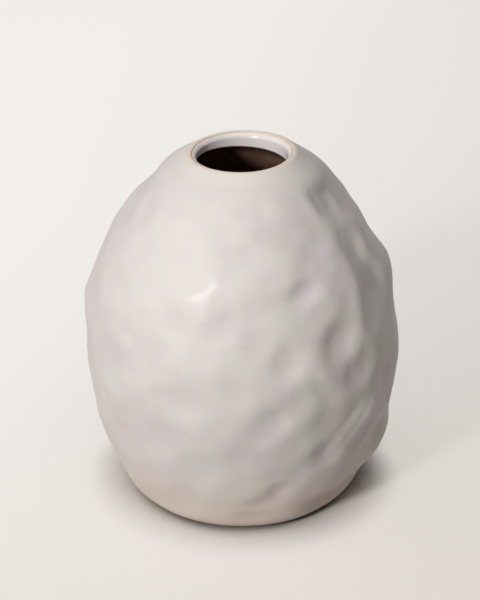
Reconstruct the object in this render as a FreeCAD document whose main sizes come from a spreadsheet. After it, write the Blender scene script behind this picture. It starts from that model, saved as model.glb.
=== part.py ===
import FreeCAD, Part
import math
import os
from collections import namedtuple

import Sketcher
from FreeCAD import Vector

# Hand-formed bud vase: an egg-shaped, finger-pressed pot with one small round mouth.
# Millimetres and degrees, +Z up, origin in the middle of the flat face that the vase stands on.
# Seen from the front (looking along +Y) azimuth 0 faces the viewer and +90 is the viewer's right.

# Driving dimensions: name, value, meaning
SIZES = (
    ("foot_round", 15.0, "rounding between the rest face and the wall"),
    ("lower_round", 151.0, "radius of the outline's arc below the belly line"),
    ("belly_radius", 75.0, "radius of the unpressed pot at its widest line"),
    ("belly_height", 79.0, "height of the widest line, where the two wall halves join"),
    ("upper_round", 116.0, "radius of the outline's arc above the belly line"),
    ("shoulder_start", 36.0, "angle of the outline's normal above level where the shoulder arc begins"),
    ("shoulder_round", 82.5, "radius of the shoulder arc"),
    ("base_edge_height", 15.0, "height of the base's turned-up edge"),
    ("wall_thickness", 6.0, "thickness of the base and the wall before pressing"),
    ("bore_radius", 21.4, "radius of the clay bore"),
    ("collar_width", 12.6, "width of the collar ring where it sits on the wall"),
    ("lip_round", 2.6, "radius of the rounded lip"),
    ("base_coil_radius", 2.5, "radius of the coil in the joint of base and wall"),
    ("belly_coil_radius", 2.5, "radius of the coil in the joint of the wall halves"),
    ("outer_glaze_thickness", 0.4, "thickness of the satin outer glaze"),
    ("outer_glaze_foot", 1.6, "height above the rest face where the outer glaze begins"),
    ("outer_glaze_end", 132.0, "angle round the lip where the outer glaze ends"),
    ("neck_glaze_thickness", 0.3, "thickness of the glossy glaze in the bore"),
    ("neck_glaze_end", 150.0, "angle round the lip where the bore's glaze ends"),
    ("liner_glaze_thickness", 0.4, "thickness of the dark glaze in the hollow"),
)

# Finger presses: azimuth, climb of the centre along the outline from the belly line, reach across,
# reach along the outline, tilt of the print in degrees anticlockwise, depth (below zero: a swell)
Press = namedtuple("Press", "azimuth climb across along tilt depth")
FRONT_PRESSES = (
    Press(-98, 87, 26, 14, 0, 0.9),
    Press(-80, 71, 22, 16, 0, 0.5),
    Press(-88, 19, 16, 9, 0, -1.4),
    Press(-90, -7, 26, 18, 0, 0.9),
    Press(55, 87, 8, 11, 0, 1.9),
    Press(76, 83, 12, 12, 0, 2.9),
    Press(98, 77, 14, 11, 0, 2.9),
    Press(60, 63, 9, 10, 0, 2.2),
    Press(88, 57, 12, 9, 0, 1.6),
    Press(84, 41, 12, 9, 0, -1.4),
    Press(63, 39, 9, 14, 0, 3.0),
    Press(50, 41, 5, 15, -6, -0.9),
    Press(88, 15, 16, 12, 0, 1.8),
    Press(38, 23, 9, 12, 0, 2.0),
    Press(46, 7, 9, 8, 10, 2.0),
    Press(16, 15, 6, 13, -30, 1.0),
    Press(33, -16, 9, 10, 0, 1.8),
    Press(27, 52, 9, 8, 20, 1.3),
    Press(18, 46, 12, 6, 20, 0.7),
    Press(-3, 40, 22, 6, 26, 0.8),
    Press(4, 27, 24, 12, -24, 1.0),
    Press(10, -10, 20, 7, 38, 1.0),
    Press(8, -61, 18, 4, 6, 0.6),
    Press(17, -54, 8, 5, 25, 0.8),
    Press(66, -13, 11, 14, 20, 2.2),
    Press(55, -15, 4, 18, -30, -0.9),
    Press(47, -29, 10, 9, 0, 1.5),
    Press(64, -41, 12, 9, 0, 1.4),
    Press(84, -41, 20, 14, 0, -2.5),
    Press(48, -70, 20, 8, 0, 3.4),
    Press(-8, 76, 14, 9, 0, 0.8),
    Press(-26, 62, 14, 11, 0, 0.9),
    Press(-46, 48, 16, 13, 0, 0.8),
    Press(-32, 27, 18, 13, 0, 0.8),
    Press(-58, 13, 20, 14, 0, 0.8),
    Press(-14, 3, 20, 13, 0, 0.7),
    Press(-36, -23, 22, 13, 0, 0.8),
    Press(-10, -39, 18, 10, 0, 0.6),
    Press(36, 74, 12, 9, 0, 1.4),
    Press(16, 76, 10, 8, 0, 0.7),
    Press(20, -39, 14, 9, 0, 0.8),
)

# Presses on the back, in staggered rows round the pot
BACK_ROW_COUNT = 6
BACK_ROW_PITCH = 27.0
BACK_LOWEST_CLIMB = -56.0
BACK_FIRST_AZIMUTH = 118.0
BACK_LAST_AZIMUTH = 246.0
BACK_AZIMUTH_PITCH = 25.0
BACK_ROW_STAGGER = 12.0
BACK_REACH = 12.0
BACK_REACH_SWING = 2.0
BACK_DEPTH = 2.0
BACK_DEPTH_SWING = 0.8
BACK_TILT_SWING = 15.0
BACK_SWING_TURN = 140.0

# The presses fade out over these lengths of outline, so the rest face and the neck joint stay round
FOOT_FADE = 14.0
NECK_FADE = 10.0

# Angles in degrees, those of a normal counted up from level
QUARTER_TURN = 90.0
HALF_TURN = 180.0
FULL_TURN = 360.0

# Fineness of the pressed surface: columns round the pot, and lengths of outline between rows
SURFACE_COLUMN_COUNT = 108
FOOT_ROW_STEP = 2.5
WALL_ROW_STEP = 3.5
COLLAR_ROW_STEP = 1.5
LIP_ROW_STEP = 0.4
SURFACE_DEGREE = 3


class Arc:
    """A round stretch of the outline, between two angles of its outward normal above level."""

    def __init__(self, centre_r, centre_z, radius, start, end, row_step):
        self.centre_r = centre_r
        self.centre_z = centre_z
        self.radius = radius
        self.start = math.radians(start)
        self.end = math.radians(end)
        self.length = radius * (self.end - self.start)
        self.row_step = row_step

    def at(self, distance):
        """Gives radius, height and the normal's two components at a distance along the arc."""
        angle = self.start + distance / self.radius
        normal_r = math.cos(angle)
        normal_z = math.sin(angle)
        return (
            self.centre_r + self.radius * normal_r,
            self.centre_z + self.radius * normal_z,
            normal_r,
            normal_z,
        )


class Slope:
    """A straight stretch of the outline, with the angle of its outward normal above level."""

    def __init__(self, start_r, start_z, length, lean, row_step):
        self.start_r = start_r
        self.start_z = start_z
        self.length = length
        self.normal_r = math.cos(math.radians(lean))
        self.normal_z = math.sin(math.radians(lean))
        self.row_step = row_step

    def at(self, distance):
        """Gives radius, height and the normal's two components at a distance up the slope."""
        return (
            self.start_r - distance * self.normal_z,
            self.start_z + distance * self.normal_r,
            self.normal_r,
            self.normal_z,
        )


def make_sheet(doc):
    """Writes the driving dimensions into the spreadsheet, each with its alias."""
    sheet = doc.addObject("Spreadsheet::Sheet", "Sizes")
    for row, (name, value, meaning) in enumerate(SIZES, start=1):
        sheet.set(f"A{row}", name)
        sheet.set(f"B{row}", str(value))
        sheet.setAlias(f"B{row}", name)
        sheet.set(f"C{row}", meaning)
    return sheet


def make_derived(doc):
    """Works out, from the sheet, where the outline's tangent arcs meet."""
    derived = doc.addObject("App::VarSet", "Derived")
    formulas = (
        (
            "rest_radius",
            "Sizes.belly_radius - Sizes.lower_round + sqrt((Sizes.lower_round - Sizes.foot_round)^2"
            " - (Sizes.belly_height - Sizes.foot_round)^2)",
        ),
        (
            "foot_turn",
            "asin((Sizes.belly_height - Sizes.foot_round) / (Sizes.lower_round - Sizes.foot_round)) / 1deg",
        ),
        (
            "shoulder_radius",
            "Sizes.belly_radius - Sizes.upper_round * (1 - cos(Sizes.shoulder_start))",
        ),
        (
            "shoulder_height",
            "Sizes.belly_height + Sizes.upper_round * sin(Sizes.shoulder_start)",
        ),
        ("collar_radius", "Sizes.bore_radius + Sizes.collar_width"),
        (
            "collar_lean",
            "acos(cos(Sizes.shoulder_start) - (Derived.shoulder_radius - Derived.collar_radius)"
            " / Sizes.shoulder_round) / 1deg",
        ),
        (
            "seat_height",
            "Derived.shoulder_height + Sizes.shoulder_round * (sin(Derived.collar_lean)"
            " - sin(Sizes.shoulder_start))",
        ),
        ("lip_centre_radius", "Sizes.bore_radius + Sizes.lip_round"),
        (
            "slope_length",
            "(Sizes.collar_width - Sizes.lip_round * (1 + cos(Derived.collar_lean)))"
            " / sin(Derived.collar_lean)",
        ),
        (
            "lip_centre_height",
            "Derived.seat_height + Derived.slope_length * cos(Derived.collar_lean)"
            " - Sizes.lip_round * sin(Derived.collar_lean)",
        ),
        (
            "throat_start_radius",
            "Derived.shoulder_radius - Sizes.wall_thickness * cos(Sizes.shoulder_start)",
        ),
        (
            "throat_start_height",
            "Derived.shoulder_height - Sizes.wall_thickness * sin(Sizes.shoulder_start)",
        ),
        (
            "throat_round",
            "((Sizes.bore_radius - Derived.throat_start_radius)^2"
            " + (Derived.seat_height - Derived.throat_start_height)^2)"
            " / (2 * ((Derived.throat_start_radius - Sizes.bore_radius) * cos(Sizes.shoulder_start)"
            " - (Derived.seat_height - Derived.throat_start_height) * sin(Sizes.shoulder_start)))",
        ),
        (
            "base_seam_radius",
            "Sizes.belly_radius - Sizes.lower_round + sqrt((Sizes.lower_round - Sizes.wall_thickness)^2"
            " - (Sizes.belly_height - Sizes.base_edge_height)^2)",
        ),
    )
    for name, formula in formulas:
        derived.addProperty("App::PropertyFloat", name)
        derived.setExpression(name, formula)
    return derived


def outline_pieces(sizes, derived):
    """Lists the clay's outer outline upwards, from the rest face's edge over the lip."""
    collar_bottom = (derived.collar_radius, derived.seat_height)
    shoulder_lean = math.radians(sizes.shoulder_start)
    return [
        Arc(
            derived.rest_radius,
            sizes.foot_round,
            sizes.foot_round,
            -QUARTER_TURN,
            -derived.foot_turn,
            FOOT_ROW_STEP,
        ),
        Arc(
            sizes.belly_radius - sizes.lower_round,
            sizes.belly_height,
            sizes.lower_round,
            -derived.foot_turn,
            0.0,
            WALL_ROW_STEP,
        ),
        Arc(
            sizes.belly_radius - sizes.upper_round,
            sizes.belly_height,
            sizes.upper_round,
            0.0,
            sizes.shoulder_start,
            WALL_ROW_STEP,
        ),
        Arc(
            derived.shoulder_radius - sizes.shoulder_round * math.cos(shoulder_lean),
            derived.shoulder_height - sizes.shoulder_round * math.sin(shoulder_lean),
            sizes.shoulder_round,
            sizes.shoulder_start,
            derived.collar_lean,
            WALL_ROW_STEP,
        ),
        Slope(*collar_bottom, derived.slope_length, derived.collar_lean, COLLAR_ROW_STEP),
        Arc(
            derived.lip_centre_radius,
            derived.lip_centre_height,
            sizes.lip_round,
            derived.collar_lean,
            sizes.outer_glaze_end,
            LIP_ROW_STEP,
        ),
    ]


class Outline:
    """The outline as one curve, measured by the distance along it from the rest face's edge."""

    def __init__(self, sizes, derived):
        self.pieces = outline_pieces(sizes, derived)
        self.starts = [0.0]
        for piece in self.pieces:
            self.starts.append(self.starts[-1] + piece.length)
        self.belly = self.starts[2]
        self.seat = self.starts[4]
        self.end = self.starts[-1]

    def at(self, distance):
        """Gives radius, height and the normal's two components at a distance along the outline."""
        distance = min(max(distance, 0.0), self.end)
        index = 0
        while index < len(self.pieces) - 1 and distance > self.starts[index + 1]:
            index += 1
        return self.pieces[index].at(distance - self.starts[index])

    def distance_at_height(self, height):
        """Finds the distance along the outline below the belly line where it reaches a height."""
        low = 0.0
        high = self.belly
        while high - low > 1e-9:
            middle = (low + high) / 2
            if self.at(middle)[1] < height:
                low = middle
            else:
                high = middle
        return low

    def rows(self):
        """Lists the distances of the surface's knots, closer together where the outline turns fast."""
        knots = [0.0]
        for piece, start in zip(self.pieces, self.starts):
            count = max(1, math.ceil(piece.length / piece.row_step))
            for step in range(1, count + 1):
                knots.append(start + piece.length * step / count)
        return knots

    def fade(self, distance):
        """Gives the share of a press that reaches this distance: none at the foot and the neck joint."""
        foot = min(max(distance / FOOT_FADE, 0.0), 1.0)
        neck = min(max((self.seat - distance) / NECK_FADE, 0.0), 1.0)
        share = foot * neck
        return share * share * (3 - 2 * share)


def back_presses():
    """Lays presses over the back in staggered rows, each of a slightly different depth."""
    presses = []
    for row in range(BACK_ROW_COUNT):
        climb = BACK_LOWEST_CLIMB + row * BACK_ROW_PITCH
        azimuth = BACK_FIRST_AZIMUTH + (row % 2) * BACK_ROW_STAGGER
        while azimuth <= BACK_LAST_AZIMUTH:
            swing = math.sin(math.radians(BACK_SWING_TURN * len(presses)))
            depth = BACK_DEPTH + BACK_DEPTH_SWING * swing
            across = BACK_REACH + BACK_REACH_SWING * swing
            along = BACK_REACH - BACK_REACH_SWING * swing
            presses.append(Press(azimuth, climb, across, along, BACK_TILT_SWING * swing, depth))
            azimuth += BACK_AZIMUTH_PITCH
    return presses


class Print:
    """One press placed on the outline: its middle, and its directions across, along and inwards."""

    def __init__(self, press, outline):
        radius, height, normal_r, normal_z = outline.at(outline.belly + press.climb)
        azimuth = math.radians(press.azimuth)
        outwards = Vector(math.sin(azimuth), -math.cos(azimuth), 0)
        level = Vector(math.cos(azimuth), math.sin(azimuth), 0)
        upwards = Vector(0, 0, normal_r) - outwards * normal_z
        tilt = math.radians(press.tilt)
        self.middle = outwards * radius + Vector(0, 0, height)
        self.across = (level * math.cos(tilt) + upwards * math.sin(tilt)) / press.across
        self.along = (upwards * math.cos(tilt) - level * math.sin(tilt)) / press.along
        self.inwards = (outwards * normal_r + Vector(0, 0, normal_z)) / max(press.across, press.along)
        self.depth = press.depth

    def depth_at(self, point):
        """Gives the depth that this print takes off at a point, falling away as a bell curve."""
        away = point - self.middle
        reach = away.dot(self.across) ** 2 + away.dot(self.along) ** 2 + away.dot(self.inwards) ** 2
        return self.depth * math.exp(-reach)


def pressed_surface(outline, prints, growth):
    """Builds the pressed outer surface, moved outwards by growth, as one closed cubic surface."""
    knots = outline.rows()
    padded = [knots[0]] * SURFACE_DEGREE + knots + [knots[-1]] * SURFACE_DEGREE
    row_count = len(knots) + SURFACE_DEGREE - 1
    column_turn = 2 * math.pi / SURFACE_COLUMN_COUNT
    column_gain = 3 / (2 + math.cos(column_turn))
    poles = []
    for column in range(SURFACE_COLUMN_COUNT):
        turn = column * column_turn
        radial = Vector(math.cos(turn), math.sin(turn), 0)
        poles.append([])
        for row in range(row_count):
            distance = sum(padded[row + 1:row + 1 + SURFACE_DEGREE]) / SURFACE_DEGREE
            radius, height, normal_r, normal_z = outline.at(distance)
            point = radial * radius + Vector(0, 0, height)
            depth = sum(mark.depth_at(point) for mark in prints) * outline.fade(distance)
            moved = growth - depth
            pole_radius = (radius + moved * normal_r) * column_gain
            poles[-1].append(radial * pole_radius + Vector(0, 0, height + moved * normal_z))
    surface = Part.BSplineSurface()
    surface.buildFromPolesMultsKnots(
        poles,
        [1] * (SURFACE_COLUMN_COUNT + 1),
        [SURFACE_DEGREE + 1] + [1] * (len(knots) - 2) + [SURFACE_DEGREE + 1],
        [float(column) for column in range(SURFACE_COLUMN_COUNT + 1)],
        knots,
        True,
        False,
        SURFACE_DEGREE,
        SURFACE_DEGREE,
    )
    return surface


def band_face(surface, start, end):
    """Cuts the stretch between two distances along the outline out of a pressed surface."""
    return surface.toShape(0, SURFACE_COLUMN_COUNT, start, end)


def closed_edge(face, top):
    """Finds a band's closed edge at its top or bottom."""
    edges = [edge for edge in face.Edges if edge.Closed]
    edges.sort(key=lambda edge: edge.CenterOfMass.z)
    return edges[-1] if top else edges[0]


def closed_solid(faces):
    """Joins faces that share their edges into one solid."""
    compound = Part.makeCompound(faces)
    compound.sewShape()
    solid = Part.Solid(compound.Shells[0])
    if solid.Volume < 0:
        solid.reverse()
    return solid


def ring_between(first, second):
    """Makes the face between two closed edges."""
    return Part.makeRuledSurface(first, second)


def revolved_faces(edges):
    """Turns edges in the XZ plane round the Z axis."""
    faces = []
    for edge in edges:
        faces.extend(edge.revolve(Vector(0, 0, 0), Vector(0, 0, 1), FULL_TURN).Faces)
    return faces


def circle_at(radius, height):
    """Makes a level circle round the Z axis."""
    return Part.Edge(Part.Circle(Vector(0, 0, height), Vector(0, 0, 1), radius))


def arc_edge(centre_r, centre_z, radius, start_z, end_z):
    """Makes the part of a circle in the XZ plane, right of its middle, between two heights."""
    points = []
    start = math.asin((start_z - centre_z) / radius)
    end = math.asin((end_z - centre_z) / radius)
    for angle in (start, (start + end) / 2, end):
        points.append(Vector(centre_r + radius * math.cos(angle), 0, centre_z + radius * math.sin(angle)))
    return Part.Edge(Part.Arc(*points))


class Inside:
    """The hollow's wall: the clay's smooth inner face, one wall thickness in from the outline."""

    def __init__(self, sizes, derived):
        self.sizes = sizes
        self.derived = derived
        wall = sizes.wall_thickness
        self.foot_round = sizes.foot_round - wall
        self.lower_round = sizes.lower_round - wall
        self.upper_round = sizes.upper_round - wall
        self.lower_centre = sizes.belly_radius - sizes.lower_round
        self.upper_centre = sizes.belly_radius - sizes.upper_round
        self.foot_top = sizes.foot_round - self.foot_round * math.sin(math.radians(derived.foot_turn))

    def lower(self, start_z, end_z):
        """Makes the inner edge below the belly line between two heights, floor side first."""
        edges = []
        if start_z < self.foot_top:
            stop = min(end_z, self.foot_top)
            foot = (self.derived.rest_radius, self.sizes.foot_round, self.foot_round)
            edges.append(arc_edge(*foot, start_z, stop))
        if end_z > self.foot_top:
            begin = max(start_z, self.foot_top)
            edges.append(arc_edge(self.lower_centre, self.sizes.belly_height, self.lower_round, begin, end_z))
        return edges

    def upper(self):
        """Makes the inner edge from the belly line up to the bore."""
        lean = math.radians(self.sizes.shoulder_start)
        start = (self.derived.throat_start_radius, self.derived.throat_start_height)
        throat = self.derived.throat_round
        centre = (start[0] - throat * math.cos(lean), start[1] - throat * math.sin(lean))
        return [
            arc_edge(self.upper_centre, self.sizes.belly_height, self.upper_round, self.sizes.belly_height, start[1]),
            arc_edge(*centre, throat, start[1], self.derived.seat_height),
        ]

    def radius_at(self, height):
        """Gives the hollow's radius at a height below the belly line."""
        edge = self.lower(height, self.sizes.belly_height)[0]
        return edge.valueAt(edge.FirstParameter).x


def make_base_blank(sizes, derived, clay, outline, inside):
    """Forms the pinched base: a flat round floor with a short turned-up edge."""
    seam = outline.distance_at_height(sizes.base_edge_height)
    outer = band_face(clay, 0.0, seam)
    rest = Part.Face(Part.Wire(closed_edge(outer, False)))
    rim_radius = inside.radius_at(sizes.base_edge_height)
    rim = ring_between(closed_edge(outer, True), circle_at(rim_radius, sizes.base_edge_height))
    floor_edge = Part.Edge(
        Part.LineSegment(Vector(0, 0, sizes.wall_thickness), Vector(derived.rest_radius, 0, sizes.wall_thickness))
    )
    hollow = revolved_faces([floor_edge] + inside.lower(sizes.wall_thickness, sizes.base_edge_height))
    return closed_solid([outer, rest, rim] + hollow)


def make_lower_blank(sizes, clay, outline, inside):
    """Forms the wall from the base's edge up to the belly line."""
    seam = outline.distance_at_height(sizes.base_edge_height)
    outer = band_face(clay, seam, outline.belly)
    bottom_circle = circle_at(inside.radius_at(sizes.base_edge_height), sizes.base_edge_height)
    top_circle = circle_at(sizes.belly_radius - sizes.wall_thickness, sizes.belly_height)
    rings = [
        ring_between(closed_edge(outer, False), bottom_circle),
        ring_between(closed_edge(outer, True), top_circle),
    ]
    hollow = revolved_faces(inside.lower(sizes.base_edge_height, sizes.belly_height))
    return closed_solid([outer] + rings + hollow)


def make_upper_blank(sizes, derived, clay, outline, inside):
    """Forms the wall from the belly line up to the collar's seat."""
    outer = band_face(clay, outline.belly, outline.seat)
    bottom_circle = circle_at(sizes.belly_radius - sizes.wall_thickness, sizes.belly_height)
    rings = [
        ring_between(closed_edge(outer, False), bottom_circle),
        ring_between(closed_edge(outer, True), circle_at(sizes.bore_radius, derived.seat_height)),
    ]
    return closed_solid([outer] + rings + revolved_faces(inside.upper()))


def make_outer_glaze(sizes, clay, glazed, outline):
    """Forms the satin coat on the outside, from just above the rest face to the lip's crest."""
    start = outline.distance_at_height(sizes.outer_glaze_foot)
    inner = band_face(clay, start, outline.end)
    outer = band_face(glazed, start, outline.end)
    foot_ring = ring_between(closed_edge(outer, False), closed_edge(inner, False))
    lip_ring = ring_between(closed_edge(outer, True), closed_edge(inner, True))
    return closed_solid([inner, outer, foot_ring, lip_ring])


def add_shape(doc, name, shape):
    """Puts a formed shape into the document under its own name."""
    feature = doc.addObject("Part::Feature", name)
    feature.Label = name
    feature.Shape = shape
    feature.Placement = FreeCAD.Placement()
    return feature


def plane_of(body, role):
    """Finds one of a body's own origin planes."""
    return next(plane for plane in body.Origin.OriginFeatures if plane.Role == role)


def start_sketch(doc, name):
    """Opens a body with a sketch on its upright XZ plane."""
    body = doc.addObject("PartDesign::Body", name)
    body.Label = name
    sketch = body.newObject("Sketcher::SketchObject", f"{name}_section")
    sketch.AttachmentSupport = [(plane_of(body, "XZ_Plane"), "")]
    sketch.MapMode = "FlatFace"
    return body, sketch


def finish_revolution(body, sketch):
    """Turns a section once round the upright axis."""
    turned = body.newObject("PartDesign::Revolution", f"{body.Name}_turned")
    turned.Profile = sketch
    turned.ReferenceAxis = (sketch, ["V_Axis"])
    turned.Angle = FULL_TURN
    sketch.Visibility = False
    body.Tip = turned
    return body


# Numbers of a sketch curve's points, and of the sketch's origin
START, END, CENTRE = range(1, 4)
ORIGIN = (-1, 1)


def add_line(sketch, start, end):
    """Draws a line between two points of the section, each given as radius and height."""
    return sketch.addGeometry(Part.LineSegment(Vector(*start, 0), Vector(*end, 0)))


def add_arc(sketch, centre, radius, start, end):
    """Draws an arc anticlockwise between two angles in degrees."""
    circle = Part.Circle(Vector(*centre, 0), Vector(0, 0, 1), radius)
    return sketch.addGeometry(Part.ArcOfCircle(circle, math.radians(start), math.radians(end)))


def bind(sketch, name, constraint, formula):
    """Adds a measured constraint and ties it to the sheet."""
    index = sketch.addConstraint(constraint)
    sketch.renameConstraint(index, name)
    sketch.setExpression(f"Constraints.{name}", formula)


def bind_place(sketch, name, geometry, point, radius_formula=None, height_formula=None):
    """Ties a point's distance from the axis, its height above the rest face, or both."""
    where = point_of(sketch, geometry, point)
    if radius_formula:
        sideways = Sketcher.Constraint("DistanceX", *ORIGIN, geometry, point, where.x)
        bind(sketch, f"{name}_radius", sideways, radius_formula)
    if height_formula:
        upwards = Sketcher.Constraint("DistanceY", *ORIGIN, geometry, point, where.y)
        bind(sketch, f"{name}_height", upwards, height_formula)


def point_of(sketch, geometry, point):
    """Gives the place of a point of sketch geometry."""
    return sketch.getPoint(geometry, point)


def join(sketch, first, first_point, second, second_point, smooth=False):
    """Joins two ends, and makes them run on into each other if smooth."""
    kind = "Tangent" if smooth else "Coincident"
    sketch.addConstraint(Sketcher.Constraint(kind, first, first_point, second, second_point))


def make_neck_collar(doc, sizes, derived):
    """Turns the clay ring that makes the bore and the rounded lip."""
    body, sketch = start_sketch(doc, "neck_collar")
    lean = math.radians(derived.collar_lean)
    seat = derived.seat_height
    lip_centre = (derived.lip_centre_radius, derived.lip_centre_height)
    slope_top = (
        lip_centre[0] + sizes.lip_round * math.cos(lean),
        lip_centre[1] + sizes.lip_round * math.sin(lean),
    )
    bore = add_line(sketch, (sizes.bore_radius, seat), (sizes.bore_radius, lip_centre[1]))
    lip = add_arc(sketch, lip_centre, sizes.lip_round, derived.collar_lean, HALF_TURN)
    slope = add_line(sketch, slope_top, (derived.collar_radius, seat))
    bottom = add_line(sketch, (derived.collar_radius, seat), (sizes.bore_radius, seat))
    join(sketch, bore, END, lip, END, smooth=True)
    join(sketch, lip, START, slope, START, smooth=True)
    join(sketch, slope, END, bottom, START)
    join(sketch, bottom, END, bore, START)
    sketch.addConstraint(Sketcher.Constraint("Horizontal", bottom))
    sketch.addConstraint(Sketcher.Constraint("Vertical", bore))
    bind(sketch, "lip_round", Sketcher.Constraint("Radius", lip, sizes.lip_round), "Sizes.lip_round")
    bind_place(sketch, "bore", bore, START, "Sizes.bore_radius", "Derived.seat_height")
    bind_place(sketch, "lip", lip, CENTRE, height_formula="Derived.lip_centre_height")
    bind_place(sketch, "edge", bottom, START, "Derived.collar_radius")
    return finish_revolution(body, sketch)


def make_neck_glaze(doc, sizes, derived):
    """Turns the glossy coat that lines the bore and rolls over the lip's inner edge."""
    body, sketch = start_sketch(doc, "neck_glaze")
    seat = derived.seat_height
    centre = (derived.lip_centre_radius, derived.lip_centre_height)
    grown = sizes.lip_round + sizes.neck_glaze_thickness
    skin_radius = sizes.bore_radius - sizes.neck_glaze_thickness
    end = math.radians(sizes.neck_glaze_end)
    inner_end = (centre[0] + sizes.lip_round * math.cos(end), centre[1] + sizes.lip_round * math.sin(end))
    outer_end = (centre[0] + grown * math.cos(end), centre[1] + grown * math.sin(end))
    clay_side = add_line(sketch, (sizes.bore_radius, seat), (sizes.bore_radius, centre[1]))
    clay_arc = add_arc(sketch, centre, sizes.lip_round, sizes.neck_glaze_end, HALF_TURN)
    cap = add_line(sketch, inner_end, outer_end)
    skin_arc = add_arc(sketch, centre, grown, sizes.neck_glaze_end, HALF_TURN)
    skin_side = add_line(sketch, (skin_radius, centre[1]), (skin_radius, seat))
    bottom = add_line(sketch, (skin_radius, seat), (sizes.bore_radius, seat))
    join(sketch, clay_side, END, clay_arc, END, smooth=True)
    join(sketch, clay_arc, START, cap, START)
    join(sketch, cap, END, skin_arc, START)
    join(sketch, skin_arc, END, skin_side, START, smooth=True)
    join(sketch, skin_side, END, bottom, START)
    join(sketch, bottom, END, clay_side, START)
    join(sketch, clay_arc, CENTRE, skin_arc, CENTRE)
    for upright in (clay_side, skin_side):
        sketch.addConstraint(Sketcher.Constraint("Vertical", upright))
    sketch.addConstraint(Sketcher.Constraint("Horizontal", bottom))
    bind(sketch, "lip_round", Sketcher.Constraint("Radius", clay_arc, sizes.lip_round), "Sizes.lip_round")
    bind_place(sketch, "bore", clay_side, START, "Sizes.bore_radius", "Derived.seat_height")
    bind_place(sketch, "lip", clay_arc, CENTRE, height_formula="Derived.lip_centre_height")
    skin_formula = "Sizes.bore_radius - Sizes.neck_glaze_thickness"
    bind_place(sketch, "skin", skin_side, END, skin_formula)
    for name, point, growth in (("inner", START, ""), ("outer", END, " + Sizes.neck_glaze_thickness")):
        reach = f"(Sizes.lip_round{growth})"
        bind_place(
            sketch,
            f"{name}_cap",
            cap,
            point,
            height_formula=f"Derived.lip_centre_height + {reach} * sin(Sizes.neck_glaze_end)",
        )
    return finish_revolution(body, sketch)


def make_hollow(doc, name, sizes, derived, inset, inset_formula):
    """Turns the room inside the pot, its bore included, at an inset from the unpressed outline."""
    body, sketch = start_sketch(doc, name)
    lean = sizes.shoulder_start
    belly = (sizes.belly_radius - inset, sizes.belly_height)
    throat_round = derived.throat_round + sizes.wall_thickness - inset
    throat_centre = (
        derived.throat_start_radius - derived.throat_round * math.cos(math.radians(lean)),
        derived.throat_start_height - derived.throat_round * math.sin(math.radians(lean)),
    )
    throat_end = math.degrees(math.acos((sizes.bore_radius - throat_centre[0]) / throat_round))
    throat_top = throat_centre[1] + throat_round * math.sin(math.radians(throat_end))
    top = derived.lip_centre_height
    floor = add_line(sketch, (0, inset), (derived.rest_radius, inset))
    foot = add_arc(
        sketch,
        (derived.rest_radius, sizes.foot_round),
        sizes.foot_round - inset,
        -QUARTER_TURN,
        -derived.foot_turn,
    )
    lower = add_arc(
        sketch,
        (sizes.belly_radius - sizes.lower_round, sizes.belly_height),
        sizes.lower_round - inset,
        -derived.foot_turn,
        0.0,
    )
    upper = add_arc(
        sketch,
        (sizes.belly_radius - sizes.upper_round, sizes.belly_height),
        sizes.upper_round - inset,
        0.0,
        lean,
    )
    throat = add_arc(sketch, throat_centre, throat_round, lean, throat_end)
    bore = add_line(sketch, (sizes.bore_radius, throat_top), (sizes.bore_radius, top))
    ceiling = add_line(sketch, (sizes.bore_radius, top), (0, top))
    axis = add_line(sketch, (0, top), (0, inset))
    join(sketch, floor, END, foot, START, smooth=True)
    join(sketch, foot, END, lower, START, smooth=True)
    join(sketch, lower, END, upper, START, smooth=True)
    join(sketch, upper, END, throat, START, smooth=True)
    join(sketch, throat, END, bore, START)
    join(sketch, bore, END, ceiling, START)
    join(sketch, ceiling, END, axis, START)
    join(sketch, axis, END, floor, START)
    for level in (floor, ceiling):
        sketch.addConstraint(Sketcher.Constraint("Horizontal", level))
    for upright in (bore, axis):
        sketch.addConstraint(Sketcher.Constraint("Vertical", upright))
    sketch.addConstraint(Sketcher.Constraint("PointOnObject", axis, START, -2))
    radii = (
        ("foot_round", foot, sizes.foot_round - inset, f"Sizes.foot_round - {inset_formula}"),
        ("lower_round", lower, sizes.lower_round - inset, f"Sizes.lower_round - {inset_formula}"),
        ("upper_round", upper, sizes.upper_round - inset, f"Sizes.upper_round - {inset_formula}"),
        ("throat_round", throat, throat_round, f"Derived.throat_round + Sizes.wall_thickness - {inset_formula}"),
    )
    for label, arc, radius, formula in radii:
        bind(sketch, label, Sketcher.Constraint("Radius", arc, radius), formula)
    bind_place(sketch, "belly", lower, END, f"Sizes.belly_radius - {inset_formula}", "Sizes.belly_height")
    bind_place(sketch, "belly_centre", lower, CENTRE, height_formula="Sizes.belly_height")
    joint = f"Sizes.belly_height + (Sizes.upper_round - {inset_formula}) * sin(Sizes.shoulder_start)"
    bind_place(sketch, "shoulder", upper, END, height_formula=joint)
    bind_place(sketch, "bore", bore, END, "Sizes.bore_radius", "Derived.lip_centre_height")
    bind_place(sketch, "floor", floor, START, height_formula=inset_formula)
    return finish_revolution(body, sketch)


def make_coil_ring(doc, name, radius_formula, height_formula, coil_formula):
    """Makes the round coil of a joint, centred on the hollow's wall, its start opposite the hollow's."""
    ring = doc.addObject("Part::Torus", f"{name}_ring")
    ring.Placement = FreeCAD.Placement(Vector(0, 0, 0), FreeCAD.Rotation(Vector(0, 0, 1), HALF_TURN))
    ring.setExpression("Radius1", radius_formula)
    ring.setExpression("Radius2", coil_formula)
    ring.setExpression("Placement.Base.z", height_formula)
    return ring


def cut_away(doc, name, blank, tool):
    """Takes one object out of another and names what is left."""
    left = doc.addObject("Part::Cut", name)
    left.Label = name
    left.Base = blank
    left.Tool = tool
    return left


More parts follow.
